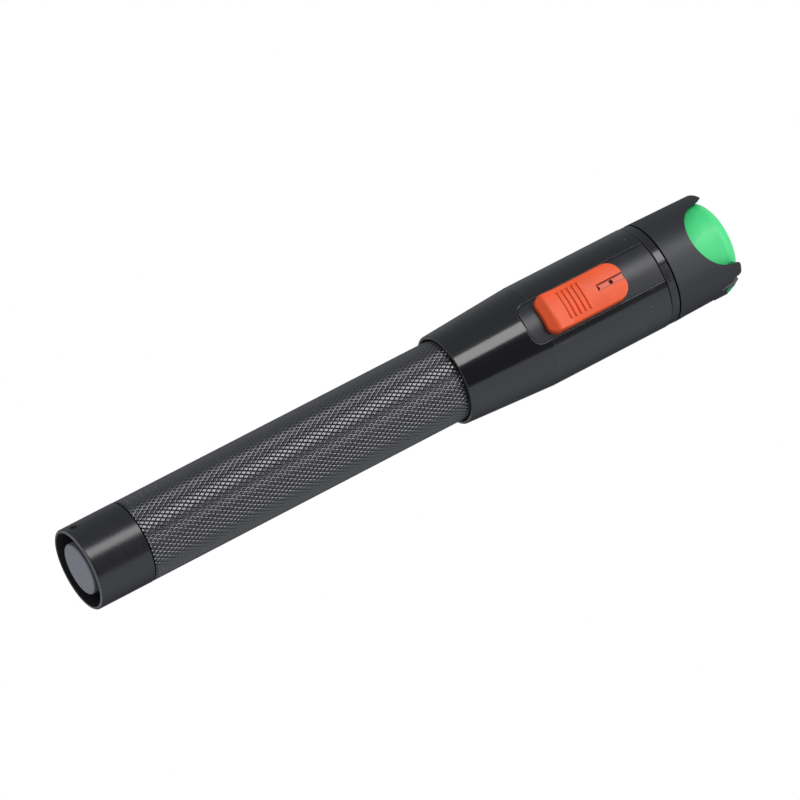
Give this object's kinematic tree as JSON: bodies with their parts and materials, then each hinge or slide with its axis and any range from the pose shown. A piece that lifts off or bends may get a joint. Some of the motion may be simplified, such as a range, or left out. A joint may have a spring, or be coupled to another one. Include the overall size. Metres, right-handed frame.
{
  "type": "visual fault locator",
  "caption": "Pen-shaped laser fault locator for optical fibre, with knurled battery barrel, thumb slide switch, connector port under a hinged dust cap, and magnetic tail cap.",
  "frame": {"origin": "on the barrel's axis, in the plane of the tail cap's rim, where the part stands on a table", "axes": "+Z along the barrel from the tail cap to the dust cap; the thumb switch faces -Y; the dust cap hinges at +X"},
  "size_m": [0.026, 0.0285, 0.1819],
  "materials": {
    "anodised_black": "black anodised, turned; knurled on the grip",
    "head_gloss_black": "smooth gloss black coat",
    "satin_black_moulding": "satin moulded plastic",
    "black_moulding": "moulded plastic",
    "ring_black": "satin black anodised",
    "magnet_grey": "matt grey coated disc magnet",
    "seal_rubber": "soft nitrile rubber",
    "spring_steel": "bare spring wire",
    "cell_can": "plain steel can, no wrapper print",
    "contact_brass": "turned brass",
    "orange_moulding": "glossy moulded plastic",
    "switch_steel": "stamped plated steel",
    "circuit_board": "green solder mask",
    "chip_black": "bare moulded package",
    "trimmer_blue": "small potentiometer case",
    "carrier_moulding": "moulded plastic",
    "lens_glass": "polished lens",
    "port_nickel": "nickel plated brass",
    "sleeve_ceramic": "white zirconia, ground",
    "green_moulding": "soft-gloss moulded plastic"
  },
  "bodies": {
    "barrel": {"battery_tube": "anodised_black", "head_seal": "seal_rubber", "rear_cell": "cell_can", "front_cell": "cell_can", "front_contact": "contact_brass", "contact_insulator": "black_moulding", "head_housing": "head_gloss_black", "switch_bezel": "satin_black_moulding", "slide_switch_case": "switch_steel", "driver_board": "circuit_board", "driver_chip": "chip_black", "power_trimmer": "trimmer_blue", "carrier_screws": "switch_steel", "inner_carrier": "carrier_moulding", "laser_barrel": "contact_brass", "laser_diode": "contact_brass", "collimator_lens": "lens_glass", "lens_retainer": "contact_brass", "collar_ring": "ring_black", "crown_bezel": "satin_black_moulding", "port_body": "port_nickel", "ferrule_sleeve": "sleeve_ceramic", "port_nut": "port_nickel", "cap_hinge_pin": "spring_steel", "hinge_bracket": "satin_black_moulding"},
    "knob": {"switch_knob": "orange_moulding", "slide_switch_lever": "black_moulding"},
    "cap": {"dust_cap": "green_moulding"},
    "tail_ring": {"tail_seal": "seal_rubber"},
    "tail": {"tail_cap": "anodised_black", "tail_magnet": "magnet_grey", "tail_spring": "spring_steel"}
  },
  "joints": [
    {"name": "cap_flip", "type": "hinge", "parent": "barrel", "child": "cap", "pos_m": [0.011, 0, 0.1789], "axis": [0, 1, 0], "range_deg": [0, 120]},
    {"name": "knob_slide", "type": "slide", "parent": "barrel", "child": "knob", "axis": [0, 0, 1], "range_m": [0, 0.0064]},
    {"name": "tail_travel", "type": "slide", "parent": "barrel", "child": "tail_ring", "axis": [0, 0, -1], "range_m": [0, 0.0085]},
    {"name": "tail_turn", "type": "hinge", "parent": "tail_ring", "child": "tail", "pos_m": [0, 0, 0], "axis": [0, 0, -1], "range_deg": [0, 3060]}
  ],
  "couplings": [
    {"joint": "tail_travel", "follows": "tail_turn", "m_per_rad": 0.00015915}
  ]
}
